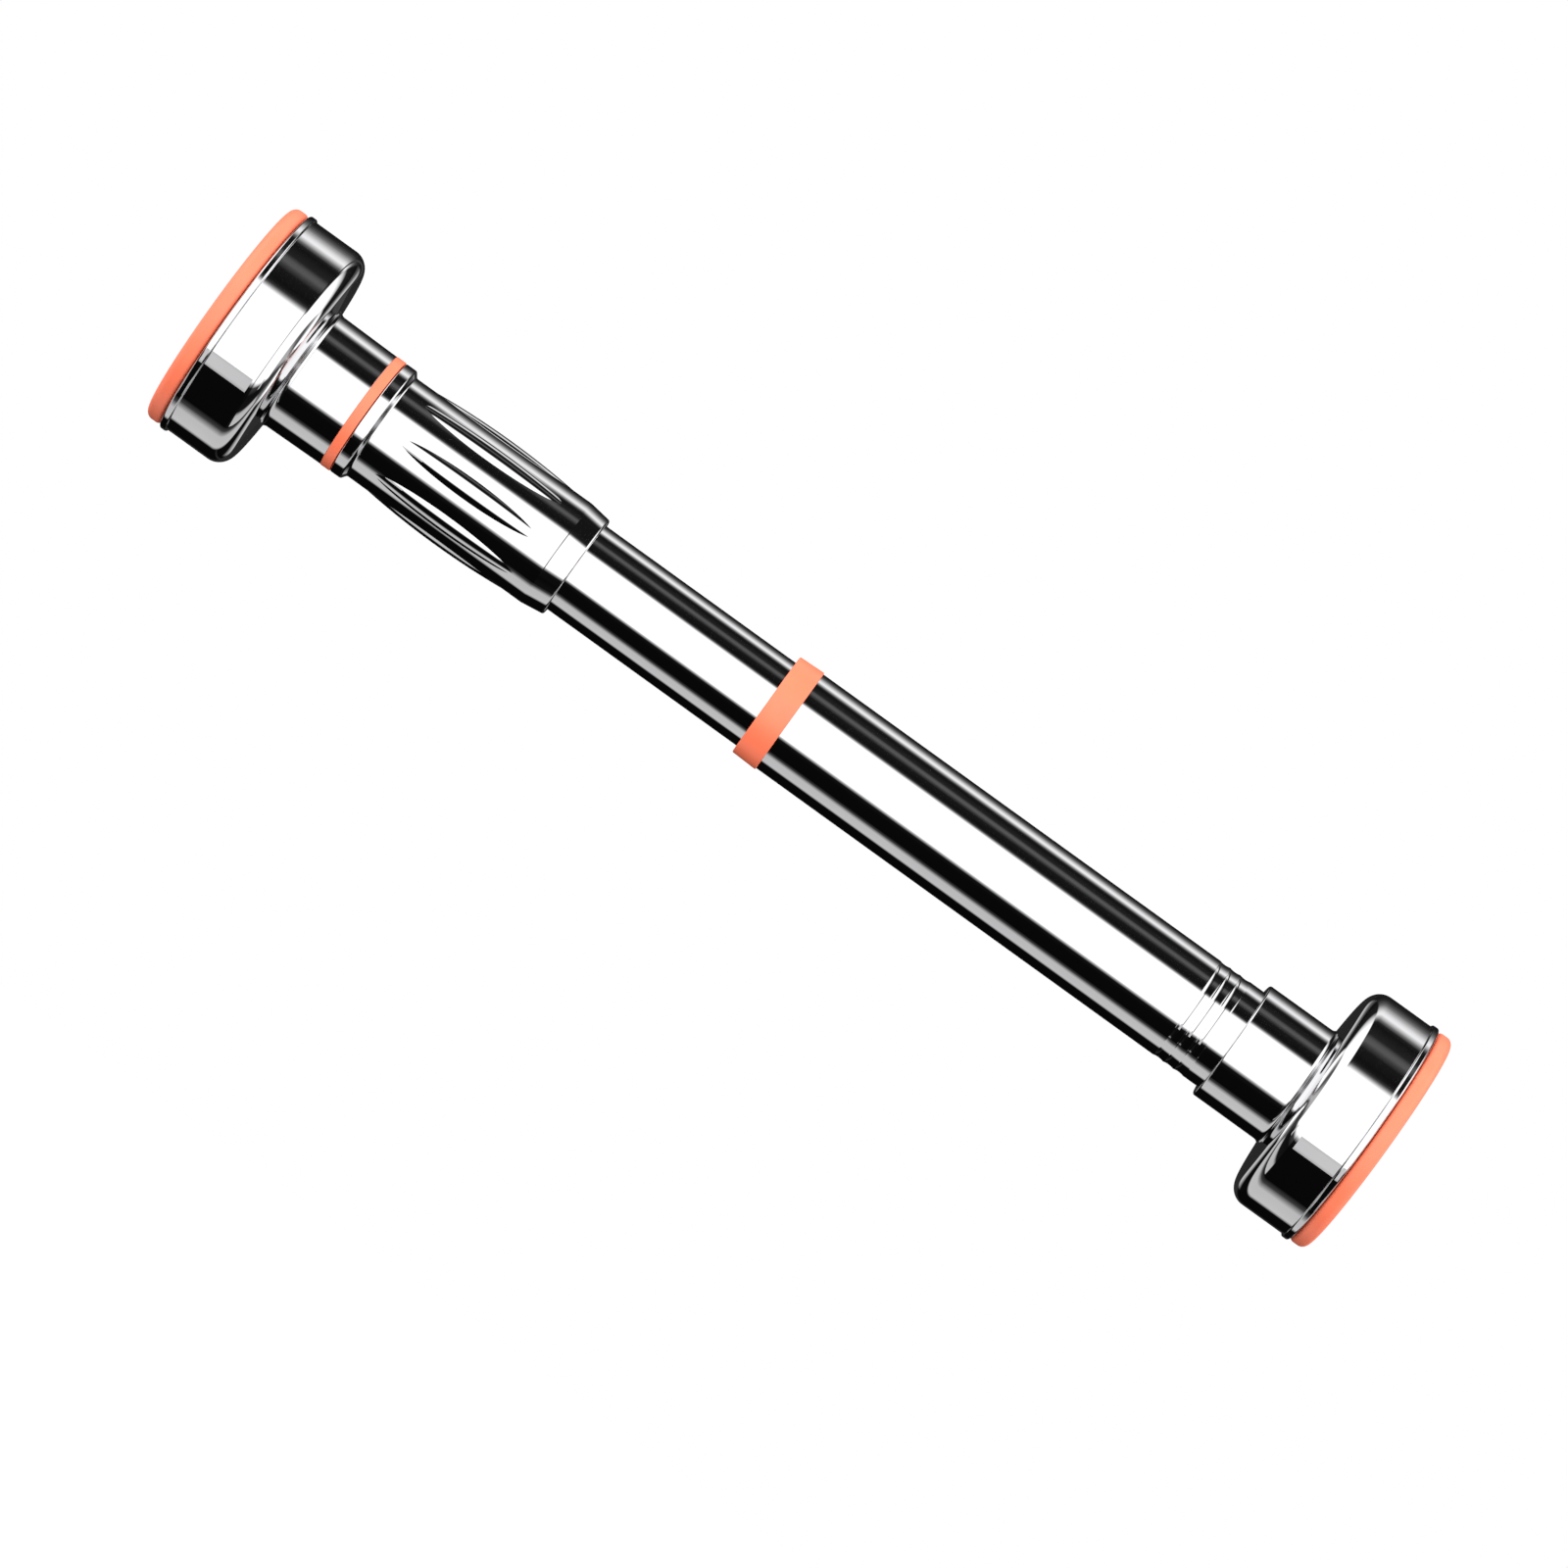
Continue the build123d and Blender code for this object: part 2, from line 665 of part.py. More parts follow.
with BuildPart() as jack_screw:
    with BuildSketch(Plane.YZ.offset(jack_head_left_x)):
        RegularPolygon(jack_head_across / 2, 6, major_radius=False)
    extrude(amount=jack_head_height)
    ring(jack_head_left_x, jack_right_x, 0, jack_radius)
    chamfer(jack_screw.edges().sort_by(Axis.X)[-1], length=jack_end_chamfer)
    ring(
        jack_head_left_x,
        foot_x(-1, bolt_tip_depth + tapped_extra),
        0,
        tapped_radius,
        mode=Mode.SUBTRACT,
    )
    key_bar(
        inner_flange_left_x,
        jack_right_x,
        key_floor_radius - moving_gap,
        jack_diameter,
        key_width + 2 * moving_gap,
        mode=Mode.SUBTRACT,
    )
jack_screw.part.label = "jack_screw"
export_step(jack_screw.part, "parts/jack_screw.step")

with BuildPart() as left_trim_ring:
    spin(
        [
            (foot_x(-1, left_mouth_depth - trim_spigot_length), trim_bore_radius),
            (foot_x(-1, left_mouth_depth - trim_spigot_length), left_hub_radius),
            (foot_x(-1, left_mouth_depth), left_hub_radius),
            (foot_x(-1, left_mouth_depth), trim_ring_radius),
            (foot_x(-1, trim_face_depth), trim_ring_radius),
            (foot_x(-1, trim_face_depth), trim_bore_radius),
        ],
        [0, 0, 0, trim_ring_edge_radius, trim_ring_edge_radius, 0],
    )
left_trim_ring.part.label = "left_trim_ring"
export_step(left_trim_ring.part, "parts/left_trim_ring.step")

# ---------------------------------------------------------------- feet

core_corner_radius = cup_corner_radius - core_inset
core_rim_points = [
    (core_face_depth, bolt_pocket_diameter / 2),
    (core_face_depth, core_radius),
    (back_depth(core_radius, core_inset), core_radius),
]
bolt_seat_points = [
    (bolt_pocket_floor, bolt_hole_radius),
    (bolt_pocket_floor, bolt_pocket_diameter / 2),
]


def cut_screw_pilots(side):
    """Bores the pilot holes for the plate's screws into a core."""
    pilot_depth = plate_screw_length - plate_thickness + cut_past
    with BuildSketch(foot_plane(side, core_face_depth)) as pilots:
        with PolarLocations(plate_screw_circle, plate_screw_count):
            Circle(screw_shank_diameter / 2 + press_gap)
    extrude(pilots.sketch, amount=-pilot_depth, mode=Mode.SUBTRACT)


# The left core is also a long hub, which holds the jack screw's hexagonal head.
jack_pocket_radius = jack_head_across / 2 / cos(radians(30)) + jack_pocket_space
jack_head_top_depth = jack_head_floor + jack_head_height
left_hub_points = [
    (back_depth(left_hub_radius, core_inset), left_hub_radius),
    (left_hub_end_depth, left_hub_radius),
    (left_hub_end_depth, jack_pocket_radius),
    (jack_head_top_depth, jack_pocket_radius),
    (jack_head_top_depth, bolt_hole_radius),
]
with BuildPart() as left_cup_core:
    left_core_outline = core_rim_points + left_hub_points + bolt_seat_points
    spin(
        [(foot_x(-1, depth), radius) for depth, radius in left_core_outline],
        [0, 0, core_corner_radius, 0, 0, 0, 0, 0, 0, 0],
    )
    with BuildSketch(foot_plane(-1, jack_head_floor)):
        RegularPolygon(jack_head_across / 2 + slip_gap, 6, major_radius=False)
    extrude(amount=-jack_head_height, mode=Mode.SUBTRACT)
    cut_screw_pilots(-1)
left_cup_core.part.label = "left_cup_core"
export_step(left_cup_core.part, "parts/left_cup_core.step")

# The right core seats on the flange of the plug in the outer tube.
tube_socket_radius = outer_tube_radius + slip_gap
tube_socket_floor = tube_end_depth - end_plug_flange
right_hub_points = [
    (back_depth(tube_socket_radius, core_inset), tube_socket_radius),
    (tube_socket_floor, tube_socket_radius),
    (tube_socket_floor, bolt_hole_radius),
]
with BuildPart() as right_cup_core:
    right_core_outline = core_rim_points + right_hub_points + bolt_seat_points
    spin(
        [(foot_x(1, depth), radius) for depth, radius in right_core_outline],
        [0, 0, core_corner_radius, 0, 0, 0, 0, 0],
    )
    cut_screw_pilots(1)
right_cup_core.part.label = "right_cup_core"
export_step(right_cup_core.part, "parts/right_cup_core.step")

feet = {
    "left": {
        "side": -1,
        "mouth_depth": left_mouth_depth,
        "mouth_radius": left_mouth_radius,
        "mouth_edge": 0,
        "neck_bore": left_neck_bore_radius,
    },
    "right": {
        "side": 1,
        "mouth_depth": right_mouth_depth,
        "mouth_radius": right_mouth_radius,
        "mouth_edge": right_neck_edge_radius,
        "neck_bore": outer_tube_radius + slip_gap / 2,
    },
}

for foot, sizes in feet.items():
    side = sizes["side"]

    # The cup: a rolled rim bead, a straight wall, a round corner, a sloping back and a neck.
    cup_outline = [
        (rim_depth, cup_radius - cup_wall),
        (rim_depth, cup_radius + bead_height),
        (rim_depth + bead_width, cup_radius + bead_height),
        (rim_depth + bead_width, cup_radius),
        (back_depth(cup_radius, 0), cup_radius),
        (neck_root_depth, neck_root_outer_radius),
        (sizes["mouth_depth"], sizes["mouth_radius"]),
        (sizes["mouth_depth"], sizes["neck_bore"]),
        (back_depth(sizes["neck_bore"], cup_wall), sizes["neck_bore"]),
        (back_depth(cup_radius - cup_wall, cup_wall), cup_radius - cup_wall),
    ]
    cup_corners = [
        0,
        bead_radius,
        bead_radius,
        0,
        cup_corner_radius,
        neck_root_radius,
        sizes["mouth_edge"],
        0,
        0,
        cup_corner_radius - cup_wall,
    ]
    with BuildPart() as cup:
        spin([(foot_x(side, depth), radius) for depth, radius in cup_outline], cup_corners)
    cup.part.label = foot + "_cup"
    export_step(cup.part, "parts/" + foot + "_cup.step")

    with BuildPart() as plate:
        with BuildSketch(foot_plane(side, core_face_depth)):
            Circle(plate_radius)
        extrude(amount=plate_thickness)
        chamfer(plate.edges().filter_by(GeomType.CIRCLE), length=plate_edge_chamfer)
        with Locations(foot_plane(side, pad_thickness)):
            with PolarLocations(plate_screw_circle, plate_screw_count):
                CounterSinkHole(
                    screw_shank_diameter / 2 + slip_gap,
                    screw_head_diameter / 2 + slip_gap,
                    depth=plate_thickness + cut_past,
                )
    plate.part.label = foot + "_pad_plate"
    export_step(plate.part, "parts/" + foot + "_pad_plate.step")

    with BuildPart(foot_plane(side, pad_thickness)) as plate_screws:
        with PolarLocations(plate_screw_circle, plate_screw_count):
            Cone(
                bottom_radius=screw_shank_diameter / 2,
                top_radius=screw_head_diameter / 2,
                height=screw_head_height,
                align=(Align.CENTER, Align.CENTER, Align.MAX),
            )
            Cylinder(
                radius=screw_shank_diameter / 2,
                height=plate_screw_length,
                align=(Align.CENTER, Align.CENTER, Align.MAX),
            )
        with BuildSketch(foot_plane(side, pad_thickness)):
            with PolarLocations(plate_screw_circle, plate_screw_count):
                RegularPolygon(screw_socket_across / 2, 6, major_radius=False)
        extrude(amount=-screw_socket_depth, mode=Mode.SUBTRACT)
    plate_screws.part.label = foot + "_plate_screws"
    export_step(plate_screws.part, "parts/" + foot + "_plate_screws.step")

    # The rubber pad is flat in the middle, with round grip grooves nearer its edge.
    with BuildPart() as pad:
        spin(
            [
                (foot_x(side, 0), 0),
                (foot_x(side, 0), pad_radius),
                (foot_x(side, pad_thickness), pad_radius),
                (foot_x(side, pad_thickness), 0),
            ],
            [0, pad_front_edge_radius, pad_back_edge_radius, 0],
        )
        with BuildSketch(foot_plane(side, 0)):
            for groove in range(pad_groove_count):
                groove_radius = pad_radius - pad_groove_from_edge - groove * pad_groove_pitch
                Circle(groove_radius + pad_groove_width / 2)
                Circle(groove_radius - pad_groove_width / 2, mode=Mode.SUBTRACT)
        extrude(amount=-pad_groove_depth, mode=Mode.SUBTRACT)
    pad.part.label = foot + "_pad"
    export_step(pad.part, "parts/" + foot + "_pad.step")

    with BuildPart() as washer:
        with BuildSketch(foot_plane(side, bolt_pocket_floor)):
            Circle(washer_diameter / 2)
            Circle(bolt_hole_radius, mode=Mode.SUBTRACT)
        extrude(amount=washer_thickness)
    washer.part.label = foot + "_foot_washer"
    export_step(washer.part, "parts/" + foot + "_foot_washer.step")

    with BuildPart() as bolt:
        with BuildSketch(foot_plane(side, bolt_start_depth)):
            RegularPolygon(bolt_head_across / 2, 6, major_radius=False)
        extrude(amount=bolt_head_height)
        with BuildSketch(foot_plane(side, bolt_start_depth)):
            Circle(bolt_diameter / 2)
        extrude(amount=-bolt_length)
    bolt.part.label = foot + "_foot_bolt"
    export_step(bolt.part, "parts/" + foot + "_foot_bolt.step")
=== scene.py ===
"""Telescopic doorway pull up bar: the looks of its chrome, rubber and plastic, and its studio.

Everything is in metres and in the CAD model's frame, with the bar lying along X.
"""

from math import acos, atan2, ceil, cos, pi, radians, sin, sqrt, tan

import bmesh
import bpy
from mathutils import Matrix, Vector


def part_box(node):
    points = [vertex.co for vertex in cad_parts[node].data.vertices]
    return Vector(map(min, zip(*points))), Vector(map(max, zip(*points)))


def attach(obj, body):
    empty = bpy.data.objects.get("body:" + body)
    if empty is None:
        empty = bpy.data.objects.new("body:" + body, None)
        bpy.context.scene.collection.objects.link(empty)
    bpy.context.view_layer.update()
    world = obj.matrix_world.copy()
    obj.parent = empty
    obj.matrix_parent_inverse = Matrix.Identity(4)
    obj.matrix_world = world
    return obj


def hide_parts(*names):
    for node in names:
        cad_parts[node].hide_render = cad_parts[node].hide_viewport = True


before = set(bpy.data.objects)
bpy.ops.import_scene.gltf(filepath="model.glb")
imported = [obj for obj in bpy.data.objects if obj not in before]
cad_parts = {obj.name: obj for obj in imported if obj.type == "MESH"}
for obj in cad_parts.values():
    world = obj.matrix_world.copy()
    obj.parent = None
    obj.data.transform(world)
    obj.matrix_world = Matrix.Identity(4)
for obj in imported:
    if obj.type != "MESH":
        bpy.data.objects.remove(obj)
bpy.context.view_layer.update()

# ---------------------------------------------------------------- outer tube
# A drawn steel tube, polished and then plated with nickel and bright chromium. Three shallow
# grooves are rolled into it beside the right foot. The plating mirrors the whole studio.
MM = 0.001


def tone(hex_code):
    """An sRGB hex colour as linear RGBA."""
    channels = [int(hex_code[i : i + 2], 16) / 255 for i in (1, 3, 5)]
    return (*[c / 12.92 if c <= 0.04045 else ((c + 0.055) / 1.055) ** 2.4 for c in channels], 1.0)


def add(tree, kind, links=None, settings=None):
    """Adds a node, sets its properties and sockets, and links its inputs to other outputs."""
    made = tree.nodes.new(kind)
    for key, value in (settings or {}).items():
        if isinstance(key, str) and hasattr(made, key) and key not in made.inputs:
            setattr(made, key, value)
        else:
            made.inputs[key].default_value = value
    for key, output in (links or {}).items():
        tree.links.new(output, made.inputs[key])
    return made


def start_material(name, settings):
    """An empty node material with one Principled shader, its bare tree and that shader."""
    material = bpy.data.materials.new(name)
    material.use_nodes = True
    tree = material.node_tree
    tree.nodes.clear()
    shader = add(tree, "ShaderNodeBsdfPrincipled", settings=settings)
    add(tree, "ShaderNodeOutputMaterial", {"Surface": shader.outputs[0]})
    return material, tree, shader


def finish_node(name, material):
    """Gives a carried-over CAD node its real finish in place of the flat one it came with."""
    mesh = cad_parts[name].data
    for place in range(len(mesh.materials)):
        mesh.materials[place] = material


def marks(tree, spacing, detail=3.0):
    """Noise laid out in millimetres: spacing is the size of one mark along X, Y and Z."""
    place = add(tree, "ShaderNodeTexCoord")
    scaled = add(
        tree,
        "ShaderNodeMapping",
        {"Vector": place.outputs["Object"]},
        {"Scale": [1 / (MM * size) for size in spacing]},
    )
    return add(
        tree,
        "ShaderNodeTexNoise",
        {"Vector": scaled.outputs[0]},
        {"Scale": 1.0, "Detail": detail, "Roughness": 0.55},
    )


def spread(tree, value, low, high, start=0.3, end=0.7):
    """Maps a noise value to a range, such as of roughness."""
    return add(
        tree,
        "ShaderNodeMapRange",
        {"Value": value},
        {"From Min": start, "From Max": end, "To Min": low, "To Max": high},
    ).outputs[0]


def two_tones(tree, value, first, second):
    """A colour that wanders between two sRGB tones."""
    ramp = add(tree, "ShaderNodeValToRGB", {"Fac": value})
    ramp.color_ramp.elements[0].position = 0.3
    ramp.color_ramp.elements[1].position = 0.7
    ramp.color_ramp.elements[0].color = tone(first)
    ramp.color_ramp.elements[1].color = tone(second)
    return ramp.outputs[0]


def chromium(name, scratch_size):
    """Bright chromium plate: a near mirror, with a bloom of hair scratches from handling."""
    material, tree, shader = start_material(name, {"Metallic": 1.0})
    handling = marks(tree, (38.0, 30.0, 30.0))
    scratches = marks(tree, scratch_size)
    tree.links.new(
        two_tones(tree, handling.outputs[0], "#DEDEE0", "#E4E4E5"), shader.inputs["Base Color"]
    )
    tree.links.new(
        spread(tree, scratches.outputs[0], 0.012, 0.035, 0.35, 0.75), shader.inputs["Roughness"]
    )
    relief = add(
        tree,
        "ShaderNodeBump",
        {"Height": scratches.outputs[0]},
        {"Strength": 0.02, "Distance": 0.01 * MM},
    )
    tree.links.new(relief.outputs[0], shader.inputs["Normal"])
    return material


ARC_STEP = radians(6)
LONG_STRAIGHT = 1.2
HOLD = 0.12  # from a straight's end to the point that keeps its shading flat


def outline(corners):
    """Points through closed (x, radius, rounding) corners in millimetres, with fine arcs."""
    points = []
    for place, (x, radius, rounding) in enumerate(corners):
        here = Vector((x, radius))
        before = Vector(corners[place - 1][:2]) - here
        after = Vector(corners[(place + 1) % len(corners)][:2]) - here
        if rounding == 0:
            points.append(here)
            continue
        half = before.angle(after) / 2
        reach = rounding / tan(half)
        inward = (before.normalized() + after.normalized()).normalized()
        middle = here + inward * (rounding / sin(half))
        first = here + before.normalized() * reach - middle
        last = here + after.normalized() * reach - middle
        start = atan2(first.y, first.x)
        swing = (atan2(last.y, last.x) - start + pi) % (2 * pi) - pi
        steps = max(3, ceil(abs(swing) / ARC_STEP))
        for step in range(steps + 1):
            angle = start + swing * step / steps
            points.append(middle + Vector((cos(angle), sin(angle))) * rounding)
    return points


def held_straight(points):
    """Adds a point by each end of every long straight, so that its shading stays flat."""
    held = []
    for place, here in enumerate(points):
        held.append(here)
        run = points[(place + 1) % len(points)] - here
        if run.length > LONG_STRAIGHT:
            held.append(here + run * (HOLD / run.length))
            held.append(here + run * (1 - HOLD / run.length))
    return held


def keep_edges(shape, turn=radians(14)):
    """Marks the edges where a surface really turns, and leaves the rest smooth."""
    for face in shape.faces:
        face.smooth = True
    for edge in shape.edges:
        if len(edge.link_faces) == 2 and edge.calc_face_angle(0) > turn:
            edge.smooth = False


def place_piece(name, shape, body, node, material):
    """Turns a finished mesh into a named piece that stands for a CAD node."""
    bmesh.ops.recalc_face_normals(shape, faces=shape.faces)
    mesh = bpy.data.meshes.new(name)
    shape.to_mesh(mesh)
    shape.free()
    mesh.materials.append(material)
    piece = bpy.data.objects.new(name, mesh)
    bpy.context.scene.collection.objects.link(piece)
    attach(piece, body)
    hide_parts(node)
    return piece


def revolved(points, sides=256):
    """A solid of revolution about the bar, from closed (x, radius) points in millimetres."""
    shape = bmesh.new()
    rings = []
    for x, radius in points:
        if radius < 1e-6:
            rings.append([shape.verts.new((x * MM, 0, 0))])
            continue
        rings.append(
            [
                shape.verts.new(
                    (
                        x * MM,
                        -radius * MM * cos(2 * pi * side / sides),
                        radius * MM * sin(2 * pi * side / sides),
                    )
                )
                for side in range(sides)
            ]
        )
    for place, near in enumerate(rings):
        far = rings[(place + 1) % len(rings)]
        if len(near) == 1 and len(far) == 1:
            continue
        for side in range(sides):
            after = (side + 1) % sides
            loop = [
                near[side % len(near)],
                near[after % len(near)],
                far[after % len(far)],
                far[side % len(far)],
            ]
            shape.faces.new(list(dict.fromkeys(loop)))
    keep_edges(shape)
    return shape


def span(node):
    """Left x, right x and outer radius of a round CAD node, in millimetres."""
    low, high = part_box(node)
    return low.x / MM, high.x / MM, high.z / MM


# Scratches of the drawn tube run along it: a tube that slides marks itself lengthways.
chromed_tube = chromium("chromium_on_drawn_tube", (24.0, 0.5, 0.5))
TUBE_WALL = 1.5
GROOVE_PITCH = 4.6
GROOVE_DEPTH = 0.32
LAST_GROOVE_FROM_NECK = 9.0
GROOVE_STEPS = 8  # each side of a groove's middle
tube_left, tube_right, tube_radius = span("outer_tube")
groove_arc = ((GROOVE_PITCH / 2) ** 2 + GROOVE_DEPTH**2) / (2 * GROOVE_DEPTH)
last_groove = span("right_cup")[0] - LAST_GROOVE_FROM_NECK
tube_points = [Vector((tube_left, tube_radius - TUBE_WALL)), Vector((tube_left, tube_radius))]
for groove in (2, 1, 0):
    for step in range(-GROOVE_STEPS, GROOVE_STEPS + 1):
        along = step / GROOVE_STEPS * GROOVE_PITCH / 2
        dip = sqrt(groove_arc**2 - along**2) - (groove_arc - GROOVE_DEPTH)
        if step > -GROOVE_STEPS or groove == 2:
            tube_points.append(
                Vector((last_groove - groove * GROOVE_PITCH + along, tube_radius - dip))
            )
tube_points.append(Vector((tube_right, tube_radius)))
tube_points.append(Vector((tube_right, tube_radius - TUBE_WALL)))
place_piece(
    "outer_tube_polished",
    revolved(held_straight(tube_points)),
    "outer",
    "outer_tube",
    chromed_tube,
)

# ---------------------------------------------------------------- ring and bush in its mouth
# The orange ring is injection-moulded nylon and its spigot is pressed into the tube's mouth.
# Behind it a black nylon bush keeps the inner tube straight.


def moulded(name, first, second, roughness, grain, depth):
    """Moulded polymer: a spark-eroded grain, with a slight drift in colour and gloss."""
    material, tree, shader = start_material(name, {})
    drift = marks(tree, (17.0, 17.0, 17.0), 2.0)
    texture = marks(tree, (grain, grain, grain), 2.0)
    tree.links.new(
        two_tones(tree, drift.outputs[0], first, second), shader.inputs["Base Color"]
    )
    tree.links.new(
        spread(tree, texture.outputs[0], roughness - 0.05, roughness + 0.07),
        shader.inputs["Roughness"],
    )
    relief = add(
        tree,
        "ShaderNodeBump",
        {"Height": texture.outputs[0]},
        {"Strength": 0.14, "Distance": depth * MM},
    )
    tree.links.new(relief.outputs[0], shader.inputs["Normal"])
    return material


orange_nylon = moulded("nylon_moulded_orange", "#F47350", "#F87955", 0.36, 0.25, 0.001)
black_nylon = moulded("nylon_moulded_black", "#161618", "#222225", 0.46, 0.3, 0.02)
finish_node("guide_bush", black_nylon)
RING_STAND_AT_FRONT = 0.25
RING_STAND_AT_BACK = 0.6
SLIDING_GAP = 0.08
PRESSED_GAP = 0.02
ring_left, spigot_right, _ = span("mouth_ring")
ring_bore = span("inner_tube")[2] + SLIDING_GAP
spigot_radius = tube_radius - TUBE_WALL - PRESSED_GAP
place_piece(
    "mouth_ring_moulded",
    revolved(
        held_straight(
            outline(
                [
                    (ring_left, ring_bore, 0.15),
                    (ring_left, tube_radius + RING_STAND_AT_FRONT, 0.6),
                    (tube_left, tube_radius + RING_STAND_AT_BACK, 0.3),
                    (tube_left, spigot_radius, 0),
                    (spigot_right, spigot_radius, 0),
                    (spigot_right, ring_bore, 0),
                ]
            )
        )
    ),
    "outer",
    "mouth_ring",
    orange_nylon,
)

# ---------------------------------------------------------------- plug in the tube's right end
# A turned aluminium plug is pinned across the tube, and takes the right foot's bolt.


def turned_metal(name, first, second, roughness, feed):
    """Metal from a lathe: fine feed marks round it, spaced as the tool advanced per turn."""
    material, tree, shader = start_material(name, {"Metallic": 1.0})
    patches = marks(tree, (9.0, 9.0, 9.0))
    feed_marks = marks(tree, (feed, 26.0, 26.0), 1.0)
    tree.links.new(
        two_tones(tree, patches.outputs[0], first, second), shader.inputs["Base Color"]
    )
    tree.links.new(
        spread(tree, feed_marks.outputs[0], roughness - 0.06, roughness + 0.08),
        shader.inputs["Roughness"],
    )
    relief = add(
        tree,
        "ShaderNodeBump",
        {"Height": feed_marks.outputs[0]},
        {"Strength": 0.25, "Distance": 0.01 * MM},
    )
    tree.links.new(relief.outputs[0], shader.inputs["Normal"])
    return material


turned_aluminium = turned_metal("aluminium_turned", "#CFD1D4", "#DADCDE", 0.3, 0.3)
turned_steel = turned_metal("steel_turned_bright", "#B9BABC", "#C6C7C9", 0.24, 0.25)
finish_node("outer_end_plug", turned_aluminium)
finish_node("end_plug_pin", turned_steel)

# ---------------------------------------------------------------- inner tube and its keyed plug
# The inner tube is plated like the outer one. A white acetal plug in its left end is held by
# two short pins, and a steel key in the plug slides along a slot in the jack screw.
white_acetal = moulded("acetal_turned_white", "#E9E7E0", "#F1EFE9", 0.34, 0.4, 0.008)
inner_left, inner_right, inner_radius = span("inner_tube")
place_piece(
    "inner_tube_polished",
    revolved(
        held_straight(
            [
                Vector((inner_left, inner_radius - TUBE_WALL)),
                Vector((inner_left, inner_radius)),
                Vector((inner_right, inner_radius)),
                Vector((inner_right, inner_radius - TUBE_WALL)),
            ]
        )
    ),
    "inner",
    "inner_tube",
    chromed_tube,
)
finish_node("inner_end_plug", white_acetal)
finish_node("plug_pins", turned_steel)
finish_node("screw_key", turned_steel)

# ---------------------------------------------------------------- twist lock
# Inside the outer tube, twisting the inner one draws a nylon wedge along a steel stud and
# into a slotted nylon collar, which swells and grips the bore.
zinc_plate = turned_metal("steel_bright_zinc", "#C3C8CF", "#D2D3CE", 0.3, 0.5)
finish_node("lock_plug", white_acetal)
finish_node("lock_pin", turned_steel)
finish_node("lock_stud", zinc_plate)
finish_node("lock_stop_nut", zinc_plate)
finish_node("lock_collar", black_nylon)
finish_node("lock_wedge", white_acetal)

# ---------------------------------------------------------------- twist sleeve and drive nut
# The sleeve is turned from steel with eight ribs to grip, then plated. A bronze nut keyed into
# it drives the jack screw, between two thrust washers and behind a spring-steel ring.

# Scratches on a piece polished in a lathe run round it.
chromed_pressing = chromium("chromium_on_turned_steel", (0.5, 15.0, 15.0))
cast_bronze = turned_metal("bronze_turned", "#B08A52", "#BD9760", 0.28, 0.3)
oiled_spring = turned_metal("spring_steel_oiled", "#44454A", "#53535A", 0.36, 0.6)
COLLAR_LENGTH = 3.9
SHOULDER_LENGTH = 3.1
SLEEVE_TAPER = 9.4
SLEEVE_SPREAD = 0.35
SLEEVE_END_WALL = 2.35
CHAMBER_ROOM = 1.7  # radial, round the inner tube
SLEEVE_WALL = 1.6
SEAT_GAP = 0.1
RIB_COUNT = 8
RIB_LENGTH = 62.0
RIB_WIDTH = 7.6
RIB_HEIGHT = 1.5
RIB_MIDDLE = 46.6
sleeve_left, sleeve_right, collar_radius = span("twist_sleeve")
chamber_radius = inner_radius + CHAMBER_ROOM
sleeve_start_radius = chamber_radius + SLEEVE_WALL
sleeve_bend_radius = sleeve_start_radius + SLEEVE_SPREAD
seat_bore = span("drive_nut")[2] + SEAT_GAP
seat_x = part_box("nut_keys")[1].x / MM
sleeve_points = outline(
    [
        (sleeve_left, seat_bore, 0),
        (sleeve_left, collar_radius, 0.5),
        (sleeve_left + COLLAR_LENGTH + SHOULDER_LENGTH / 4, collar_radius, 1.2),
        (sleeve_left + COLLAR_LENGTH + SHOULDER_LENGTH * 3 / 4, sleeve_start_radius, 1.2),
        (sleeve_right - SLEEVE_TAPER, sleeve_bend_radius, 8.0),
        (sleeve_right, inner_radius + SLEEVE_END_WALL, 1.0),
        (sleeve_right, inner_radius + SLIDING_GAP, 0.3),
        (seat_x, inner_radius + SLIDING_GAP, 0),
        (seat_x, seat_bore, 0),
    ]
)
# Extra points along the ribbed length let the ribs' edges curve evenly.
RIB_STATION = 0.75
rib_middle = sleeve_left + RIB_MIDDLE
stations = []
for place, here in enumerate(sleeve_points):
    run = sleeve_points[(place + 1) % len(sleeve_points)] - here
    stations.append(here)
    if run.length > 20 and run.x > 0:
        parts = ceil(run.length / RIB_STATION)
        stations += [here + run * (part / parts) for part in range(1, parts)]
    elif run.length > LONG_STRAIGHT:
        stations.append(here + run * (HOLD / run.length))
        stations.append(here + run * (1 - HOLD / run.length))
